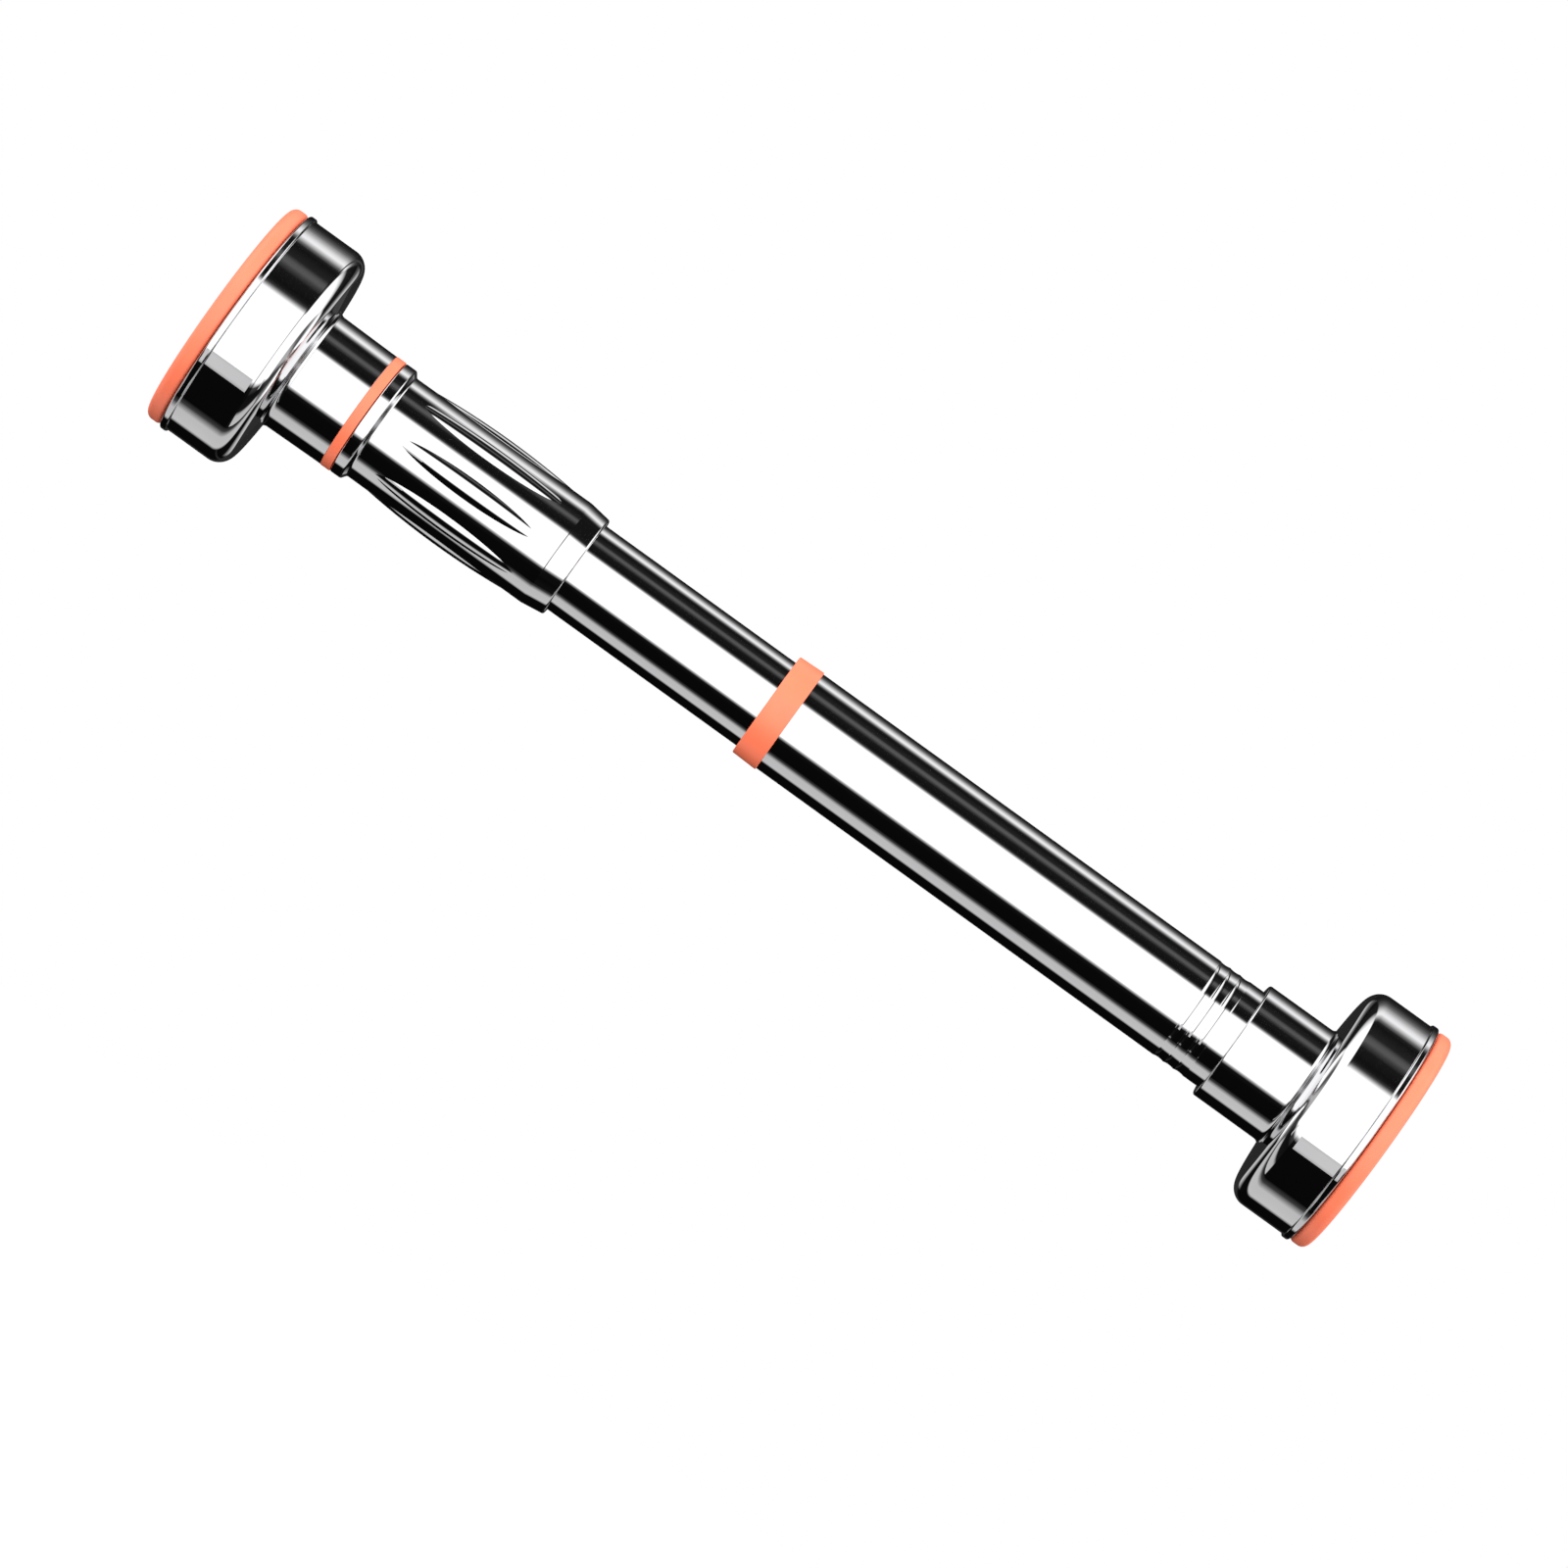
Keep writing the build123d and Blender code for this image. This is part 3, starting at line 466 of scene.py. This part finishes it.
# Each rib is the top of a slim spindle whose axis follows the sleeve's slight spread.
rib_arc = ((RIB_WIDTH / 2) ** 2 + RIB_HEIGHT**2) / (2 * RIB_HEIGHT)
spindle_arc = ((RIB_LENGTH / 2) ** 2 + RIB_HEIGHT**2) / (2 * RIB_HEIGHT)
ACROSS_RIB = 12
ACROSS_VALLEY = 14
sleeve_shape = bmesh.new()
sleeve_rings = []
sleeve_creases = []
for x, radius in stations:
    along = x - rib_middle
    outside = radius > chamber_radius and sleeve_left + COLLAR_LENGTH + SHOULDER_LENGTH < x
    half_spread = 0.0
    axis_radius = radius + RIB_HEIGHT - rib_arc
    spindle = rib_arc - spindle_arc + sqrt(spindle_arc**2 - along**2)
    if outside and abs(along) < RIB_LENGTH / 2:
        half_spread = acos(
            (axis_radius**2 + radius**2 - spindle**2) / (2 * axis_radius * radius)
        )
    sector = 2 * pi / RIB_COUNT
    ring_of_verts = []
    for rib in range(RIB_COUNT):
        for step in range(ACROSS_RIB):
            offset = half_spread * (2 * step / ACROSS_RIB - 1)
            height = radius
            if half_spread > 0 and step > 0:
                height = axis_radius * cos(offset) + sqrt(
                    spindle**2 - (axis_radius * sin(offset)) ** 2
                )
            angle = rib * sector + offset
            ring_of_verts.append(
                sleeve_shape.verts.new(
                    (x * MM, -height * MM * cos(angle), height * MM * sin(angle))
                )
            )
        for step in range(ACROSS_VALLEY):
            angle = rib * sector + half_spread + (sector - 2 * half_spread) * step / ACROSS_VALLEY
            ring_of_verts.append(
                sleeve_shape.verts.new(
                    (x * MM, -radius * MM * cos(angle), radius * MM * sin(angle))
                )
            )
    sleeve_rings.append(ring_of_verts)
    sleeve_creases.append(half_spread > 0)
across = len(sleeve_rings[0])
for place, near in enumerate(sleeve_rings):
    far = sleeve_rings[(place + 1) % len(sleeve_rings)]
    for side in range(across):
        after = (side + 1) % across
        sleeve_shape.faces.new((near[side], near[after], far[after], far[side]))
keep_edges(sleeve_shape)
for place, near in enumerate(sleeve_rings):
    far = sleeve_rings[(place + 1) % len(sleeve_rings)]
    if sleeve_creases[place] or sleeve_creases[(place + 1) % len(sleeve_rings)]:
        for rib in range(RIB_COUNT):
            for side in (0, ACROSS_RIB):
                column = rib * (ACROSS_RIB + ACROSS_VALLEY) + side
                crease = sleeve_shape.edges.get((near[column], far[column]))
                if crease:
                    crease.smooth = False
bmesh.ops.remove_doubles(sleeve_shape, verts=sleeve_shape.verts, dist=0.0005 * MM)
place_piece(
    "twist_sleeve_ribbed",
    sleeve_shape,
    "sleeve",
    "twist_sleeve",
    chromed_pressing,
)
finish_node("drive_nut", cast_bronze)
finish_node("nut_keys", turned_steel)
finish_node("nut_circlip", oiled_spring)
finish_node("front_thrust_washer", cast_bronze)
finish_node("back_thrust_washer", black_nylon)

# ---------------------------------------------------------------- jack screw and trim ring
# The jack screw is cut from steel bar and slotted for the key. The thin orange ring is moulded
# nylon, pressed into the mouth of the left foot's neck.
JACK_PITCH = 4.0
THREAD_DEPTH = 1.3
THREAD_CREST = 0.3  # the crest, where the groove ends and its flanks, as shares of the pitch
THREAD_END = 0.95
THREAD_FLANK = 0.15
JACK_HEAD_ACROSS = 21.0
JACK_HEAD_HEIGHT = 7.0
JACK_RADIUS = 8.0
SLOT_HALF_WIDTH = 2.3
SLOT_FLOOR = 6.1
TAPPED_RADIUS = 4.02
TAPPED_PAST_BOLT = 4.0
jack_left, jack_right, _ = span("jack_screw")
tapped_end = span("left_foot_bolt")[1] + TAPPED_PAST_BOLT
slot_left = span("inner_end_plug")[0]
head_right = jack_left + JACK_HEAD_HEIGHT
JACK_SIDES = 120
THREAD_STEPS = 20


def jack_surface(x, angle):
    """Radius of the jack screw at a place along it and an angle round it from the top."""
    if x < head_right:
        flat = (angle + pi / 6) % (pi / 3) - pi / 6
        return JACK_HEAD_ACROSS / 2 / cos(flat)
    phase = ((x - jack_left) / JACK_PITCH - angle / (2 * pi)) % 1.0
    rise = min(phase - THREAD_CREST, THREAD_END - phase) / THREAD_FLANK
    depth = min(1.0, max(0.0, rise))
    radius = JACK_RADIUS - THREAD_DEPTH * depth
    if x > slot_left and abs(sin(angle)) * radius < SLOT_HALF_WIDTH and cos(angle) > 0:
        return SLOT_FLOOR / cos(angle)
    return radius


HEAD_STEP = 0.01
jack_stations = [jack_left, head_right - HEAD_STEP, head_right + HEAD_STEP]
turns_long = (jack_right - head_right) / JACK_PITCH
jack_steps = ceil(turns_long * THREAD_STEPS)
jack_stations += [
    head_right + (jack_right - head_right) * step / jack_steps for step in range(1, jack_steps + 1)
]
jack_shape = bmesh.new()
turn_round = [2 * pi * side / JACK_SIDES for side in range(JACK_SIDES)]
jack_rings = [
    [
        jack_shape.verts.new(
            (x * MM, TAPPED_RADIUS * MM * sin(angle), TAPPED_RADIUS * MM * cos(angle))
        )
        for angle in turn_round
    ]
    for x in (tapped_end, jack_left)
]
for x in jack_stations:
    jack_ring = []
    for angle in turn_round:
        radius = jack_surface(x, angle)
        jack_ring.append(
            jack_shape.verts.new((x * MM, radius * MM * sin(angle), radius * MM * cos(angle)))
        )
    jack_rings.append(jack_ring)
for near, far in zip(jack_rings, jack_rings[1:]):
    for side in range(JACK_SIDES):
        after = (side + 1) % JACK_SIDES
        jack_shape.faces.new((near[side], near[after], far[after], far[side]))
for end_ring, end_x in ((jack_rings[0], tapped_end), (jack_rings[-1], jack_right)):
    hub = jack_shape.verts.new((end_x * MM, 0, 0))
    for side in range(JACK_SIDES):
        jack_shape.faces.new((hub, end_ring[side], end_ring[(side + 1) % JACK_SIDES]))
bmesh.ops.recalc_face_normals(jack_shape, faces=jack_shape.faces)
THREAD_EDGE = radians(35)
keep_edges(jack_shape, THREAD_EDGE)
place_piece(
    "jack_screw_threaded",
    jack_shape,
    "left_foot",
    "jack_screw",
    turned_steel,
)
trim_left, trim_right, trim_radius = span("left_trim_ring")
TRIM_WIDTH = 4.1
TRIM_SPIGOT_WALL = 2.25  # radial, from the ring's rim to the spigot in the neck
TRIM_BORE = 9.0
place_piece(
    "left_trim_ring_moulded",
    revolved(
        held_straight(
            outline(
                [
                    (trim_left, TRIM_BORE, 0),
                    (trim_left, trim_radius - TRIM_SPIGOT_WALL, 0),
                    (trim_right - TRIM_WIDTH, trim_radius - TRIM_SPIGOT_WALL, 0),
                    (trim_right - TRIM_WIDTH, trim_radius, 0.3),
                    (trim_right, trim_radius, 0.3),
                    (trim_right, TRIM_BORE, 0.3),
                ]
            )
        )
    ),
    "left_foot",
    "left_trim_ring",
    orange_nylon,
)

# ---------------------------------------------------------------- feet
# Each foot is a cup spun from sheet steel and plated, on a nylon core. A plated disc screwed
# to the core carries the rubber pad, and one bolt and washer hold the foot on the bar.
orange_rubber = moulded("rubber_moulded_orange", "#F27452", "#F67A58", 0.42, 0.35, 0.0015)
CUP_RADIUS = 47.5
CUP_WALL = 1.8
CUP_DEPTH = 28.0
CUP_CORNER = 7.3
BACK_ANGLE = radians(5.5)
BACK_SLOPE = tan(BACK_ANGLE)
BEAD_WIDTH = 3.0
NECK_ROOT_RADIUS = tube_radius + 3.4
RIM_DEPTH = 7.1
PAD_THICKNESS = 6.7
PAD_GROOVES_FROM_EDGE = (12.0, 20.0, 28.0)
PAD_GROOVE_HALF_WIDTH = 1.2
PAD_GROOVE_DEPTH = 1.1
for foot, side, body, mouth_radius, mouth_rounding, bore in (
    ("left", -1, "left_foot", NECK_ROOT_RADIUS - 0.4, 0.12, NECK_ROOT_RADIUS - 2.4),
    ("right", 1, "outer", NECK_ROOT_RADIUS - 0.05, 0.9, tube_radius + 0.05),
):
    face = span(foot + "_pad")[0 if side < 0 else 1]
    cup_left, cup_right, bead_radius = span(foot + "_cup")
    mouth_depth = abs(face - (cup_right if side < 0 else cup_left))
    corner_depth = RIM_DEPTH + CUP_DEPTH
    root_depth = corner_depth + (CUP_RADIUS - NECK_ROOT_RADIUS) * BACK_SLOPE
    inner_back = corner_depth - CUP_WALL / cos(BACK_ANGLE)
    cup_corners = [
        (RIM_DEPTH, CUP_RADIUS - CUP_WALL, 0.2),
        (RIM_DEPTH, bead_radius, 0.85),
        (RIM_DEPTH + BEAD_WIDTH, bead_radius, 0.85),
        (RIM_DEPTH + BEAD_WIDTH, CUP_RADIUS, 0),
        (corner_depth, CUP_RADIUS, CUP_CORNER),
        (root_depth, NECK_ROOT_RADIUS, 2.4),
        (mouth_depth, mouth_radius, mouth_rounding),
        (mouth_depth, bore, 0),
        (inner_back + (CUP_RADIUS - bore) * BACK_SLOPE, bore, 0),
        (inner_back + CUP_WALL * BACK_SLOPE, CUP_RADIUS - CUP_WALL, CUP_CORNER - CUP_WALL),
    ]
    place_piece(
        foot + "_cup_spun",
        revolved(held_straight(outline([(face - side * d, r, c) for d, r, c in cup_corners]))),
        body,
        foot + "_cup",
        chromed_pressing,
    )
    pad_radius = span(foot + "_pad")[2]
    pad_corners = [(0.0, 0.0, 0)]
    for from_edge in reversed(PAD_GROOVES_FROM_EDGE):
        inner_wall = pad_radius - from_edge - PAD_GROOVE_HALF_WIDTH
        outer_wall = pad_radius - from_edge + PAD_GROOVE_HALF_WIDTH
        pad_corners += [
            (0.0, inner_wall, 0.25),
            (PAD_GROOVE_DEPTH, inner_wall, 0.3),
            (PAD_GROOVE_DEPTH, outer_wall, 0.3),
            (0.0, outer_wall, 0.25),
        ]
    pad_corners += [
        (0.0, pad_radius, 3.0),
        (PAD_THICKNESS, pad_radius, 1.8),
        (PAD_THICKNESS, 0.0, 0),
    ]
    place_piece(
        foot + "_pad_rubber",
        revolved(held_straight(outline([(face - side * d, r, c) for d, r, c in pad_corners]))),
        body,
        foot + "_pad",
        orange_rubber,
    )
    finish_node(foot + "_pad_plate", chromed_pressing)
    finish_node(foot + "_cup_core", black_nylon)
    for fastener in ("_plate_screws", "_foot_bolt", "_foot_washer"):
        finish_node(foot + fastener, zinc_plate)

# ---------------------------------------------------------------- studio light
# A white room with black flags. Chrome shows only what it mirrors, so the light that mirrors
# see is set out in bands round the bar's axis, and what rough surfaces see is soft and even.
scene = bpy.context.scene
scene.view_settings.view_transform = "Standard"
room = bpy.data.worlds.new("studio_room")
scene.world = room
room.use_nodes = True
room_tree = room.node_tree
room_tree.nodes.clear()
direction = add(room_tree, "ShaderNodeTexCoord").outputs["Generated"]
axes = add(room_tree, "ShaderNodeSeparateXYZ", {0: direction})
toward_front = add(
    room_tree, "ShaderNodeMath", {0: axes.outputs[1]}, {"operation": "MULTIPLY", 1: -1.0}
)
round_bar = add(
    room_tree,
    "ShaderNodeMath",
    {0: axes.outputs[2], 1: toward_front.outputs[0]},
    {"operation": "ARCTAN2"},
)
band_place = add(
    room_tree,
    "ShaderNodeMapRange",
    {"Value": round_bar.outputs[0]},
    {"From Min": -pi, "From Max": pi},
)
rightward = axes.outputs[0]
sideways = add(room_tree, "ShaderNodeMath", {0: rightward}, {"operation": "ABSOLUTE"}).outputs[0]

CHROME_MIRRORS = 0.75  # share of light that the plating returns, made up for in the bands
FULL_WHITE = 1.45  # still pure white after the plating has taken its share


def bands(stops):
    """Light round the bar's axis, from (degrees above the front, sRGB grey 0 to 255) stops."""
    ramp = add(room_tree, "ShaderNodeValToRGB", {"Fac": band_place.outputs[0]})
    elements = ramp.color_ramp.elements
    while len(elements) < len(stops):
        elements.new(0.5)
    for element, (degrees, grey) in zip(elements, stops):
        element.position = (degrees + 180) / 360
        level = tone("#" + "%02X" % grey * 3)[0] / CHROME_MIRRORS
        if grey == 255:
            level = FULL_WHITE
        element.color = (level, level, level, 1.0)
    return ramp.outputs[0]


front_bands = bands(
    [
        (-180, 35),
        (-165, 40),
        (-160, 6),
        (-50, 8),
        (-42, 18),
        (-38.5, 150),
        (-35, 255),
        (41.5, 255),
        (44.5, 165),
        (47, 60),
        (50, 24),
        (54, 16),
        (66, 24),
        (71, 60),
        (75, 86),
        (79, 80),
        (84, 34),
        (98, 18),
        (103, 32),
        (107, 105),
        (111, 180),
        (116, 240),
        (121, 222),
        (127, 175),
        (134, 112),
        (140, 74),
        (148, 40),
        (158, 22),
        (180, 35),
    ]
)
gap_bands = bands(
    [
        (-180, 40),
        (-60, 8),
        (-40, 22),
        (-25, 60),
        (-8, 130),
        (8, 130),
        (25, 70),
        (40, 40),
        (58, 20),
        (112, 20),
        (122, 60),
        (180, 60),
    ]
)
side_bands = bands(
    [
        (-180, 186),
        (-168, 180),
        (-155, 10),
        (-106, 6),
        (-100, 150),
        (-92, 188),
        (-78, 180),
        (-72, 20),
        (-52, 14),
        (-42, 60),
        (-36, 255),
        (98, 255),
        (112, 200),
        (122, 30),
        (150, 14),
        (160, 90),
        (170, 182),
        (180, 186),
    ]
)
end_bands = bands(
    [
        (-180, 255),
        (-125, 255),
        (-100, 120),
        (-70, 40),
        (-38, 70),
        (-12, 170),
        (12, 170),
        (36, 110),
        (60, 60),
        (90, 140),
        (120, 255),
        (180, 255),
    ]
)


def crossing(start, end, lean=sideways):
    """From 0 to 1 as a mirrored ray turns from across the bar to along it."""
    return add(
        room_tree,
        "ShaderNodeMapRange",
        {"Value": lean},
        {"From Min": start, "From Max": end, "interpolation_type": "SMOOTHSTEP"},
    ).outputs[0]


def blend(share, first, second):
    """Mixes two colours of light by a share."""
    mixed = add(room_tree, "ShaderNodeMix", settings={"data_type": "RGBA"})
    room_tree.links.new(share, mixed.inputs[0])
    room_tree.links.new(first, mixed.inputs[6])
    room_tree.links.new(second, mixed.inputs[7])
    return mixed.outputs[2]


mirrored = blend(crossing(0.15, 0.16, rightward), front_bands, gap_bands)
mirrored = blend(crossing(0.205, 0.22, rightward), mirrored, front_bands)
mirrored = blend(crossing(0.27, 0.34), mirrored, side_bands)
mirrored = blend(crossing(0.86, 0.9), mirrored, end_bands)

soft_ramp = add(room_tree, "ShaderNodeValToRGB", {"Fac": axes.outputs[2]})
for element, level in zip(soft_ramp.color_ramp.elements, (1.0, 0.75)):
    element.color = (level, level, level, 1.0)
below = add(
    room_tree,
    "ShaderNodeMapRange",
    {"Value": axes.outputs[2]},
    {"From Min": -0.9, "From Max": 0.1, "To Min": 0.1, "To Max": 2.4},
)
ahead = add(
    room_tree,
    "ShaderNodeMapRange",
    {"Value": toward_front.outputs[0]},
    {"From Min": -1.0, "From Max": 1.0, "To Min": 0.85, "To Max": 1.12},
)
soft_level = add(
    room_tree,
    "ShaderNodeMath",
    {0: below.outputs[0], 1: ahead.outputs[0]},
    {"operation": "MULTIPLY"},
)
soft = add(
    room_tree, "ShaderNodeVectorMath", {0: soft_ramp.outputs[0]}, {"operation": "SCALE"}
)
room_tree.links.new(soft_level.outputs[0], soft.inputs["Scale"])

ray = add(room_tree, "ShaderNodeLightPath")
seen_by_rough = blend(ray.outputs["Is Glossy Ray"], soft.outputs[0], mirrored)
white = add(room_tree, "ShaderNodeRGB")
white.outputs[0].default_value = (1.0, 1.0, 1.0, 1.0)
all_rays = blend(ray.outputs["Is Camera Ray"], seen_by_rough, white.outputs[0])
lit = add(room_tree, "ShaderNodeBackground", {"Color": all_rays}, {"Strength": 1.0})
add(room_tree, "ShaderNodeOutputWorld", {"Surface": lit.outputs[0]})


def panel(name, near_edge, far_edge, left_x, right_x, grey, fall_off):
    """A glowing card between two (y, z) edges in millimetres, seen only by mirrors."""
    mesh = bpy.data.meshes.new(name)
    corners = [
        (x, y * MM, z * MM)
        for x, (y, z) in (
            (left_x, near_edge),
            (right_x, near_edge),
            (right_x, far_edge),
            (left_x, far_edge),
        )
    ]
    mesh.from_pydata(corners, [], [(0, 1, 2, 3)])
    card = bpy.data.objects.new(name, mesh)
    scene.collection.objects.link(card)
    glow = bpy.data.materials.new(name + "_glow")
    glow.use_nodes = True
    glow_tree = glow.node_tree
    glow_tree.nodes.clear()
    level = tone("#" + "%02X" % grey * 3)[0] / CHROME_MIRRORS
    place = add(glow_tree, "ShaderNodeTexCoord")
    across = add(glow_tree, "ShaderNodeSeparateXYZ", {0: place.outputs["Object"]})
    fade = add(
        glow_tree,
        "ShaderNodeMapRange",
        {"Value": across.outputs[1]},
        {"From Min": near_edge[0] * MM, "From Max": far_edge[0] * MM},
    )
    ramp = add(glow_tree, "ShaderNodeValToRGB", {"Fac": fade.outputs[0]})
    stops = ramp.color_ramp.elements
    while len(stops) < len(fall_off):
        stops.new(0.5)
    for stop, (position, share) in zip(stops, fall_off):
        stop.position = position
        stop.color = (level * share, level * share, level * share, 1.0)
    lamp = add(glow_tree, "ShaderNodeEmission", {"Color": ramp.outputs[0]}, {"Strength": 1.0})
    add(glow_tree, "ShaderNodeOutputMaterial", {"Surface": lamp.outputs[0]})
    mesh.materials.append(glow)
    for sight in ("camera", "diffuse", "shadow", "transmission"):
        setattr(card, "visible_" + sight, False)


# A grey card lies close under the bar, and two small ones brighten the cups' lower sides.
soft_edges = ((0.0, 0.0), (0.12, 0.08), (0.3, 0.9), (0.8, 0.95), (1.0, 0.02))
even = ((0.0, 0.9), (0.2, 1.0), (0.5, 1.0), (0.8, 1.0), (1.0, 0.7))
CUP_CARD_NEAR, CUP_CARD_FAR = (-462, -295), (-375, -396)
panel("card_under_bar", (-32, -75), (27, -94), -0.5, 0.5, 194, soft_edges)
panel("card_left_cup", CUP_CARD_NEAR, CUP_CARD_FAR, -0.36, -0.262, 196, even)
panel("card_right_cup", CUP_CARD_NEAR, CUP_CARD_FAR, 0.262, 0.36, 196, even)

# ---------------------------------------------------------------- floor
# A pale painted studio floor, well under the bar so that no edge of it shows behind.
floor_paint, floor_tree, floor_shader = start_material(
    "floor_pale_paint",
    {"Roughness": 0.9, "Emission Color": (1.0, 1.0, 1.0, 1.0), "Emission Strength": 0.3},
)
floor_mottle = marks(floor_tree, (400.0, 400.0, 400.0))
floor_tree.links.new(
    two_tones(floor_tree, floor_mottle.outputs[0], "#F4F4F4", "#F8F8F8"),
    floor_shader.inputs["Base Color"],
)
floor_mesh = bpy.data.meshes.new("studio_floor")
FLOOR_SIDES = 96
FLOOR_RADIUS = 2.2
FLOOR_HEIGHT = -0.4
floor_edge = [
    (
        FLOOR_RADIUS * cos(2 * pi * side / FLOOR_SIDES),
        FLOOR_RADIUS * sin(2 * pi * side / FLOOR_SIDES),
        FLOOR_HEIGHT,
    )
    for side in range(FLOOR_SIDES)
]
floor_mesh.from_pydata(floor_edge, [], [list(range(FLOOR_SIDES))])
floor_mesh.materials.append(floor_paint)
floor = bpy.data.objects.new("studio_floor", floor_mesh)
scene.collection.objects.link(floor)
floor.visible_glossy = False
floor.visible_diffuse = False

# ---------------------------------------------------------------- camera
# A long lens far off, level with the bar and rolled so that the bar slants down to the right.
CAMERA_DISTANCE = 3.4
VIEW_WIDTH = 0.584  # across the frame, at the bar
ROLL = radians(35.8)
RIGHT_SHIFT = 5.7 * MM  # the bar's middle, right of and above the frame's
UP_SHIFT = 20.8 * MM
camera_right = Vector((cos(ROLL), 0, sin(ROLL)))
camera_up = Vector((-sin(ROLL), 0, cos(ROLL)))
camera_back = Vector((0, -1, 0))
lens = bpy.data.cameras.new("camera")
lens.lens = lens.sensor_width * CAMERA_DISTANCE / VIEW_WIDTH
lens.clip_end = 20
camera = bpy.data.objects.new("camera", lens)
scene.collection.objects.link(camera)
stand = camera_back * CAMERA_DISTANCE - camera_right * RIGHT_SHIFT - camera_up * UP_SHIFT
turn = Matrix((camera_right, camera_up, camera_back)).transposed().to_4x4()
camera.matrix_world = Matrix.Translation(stand) @ turn
scene.camera = camera
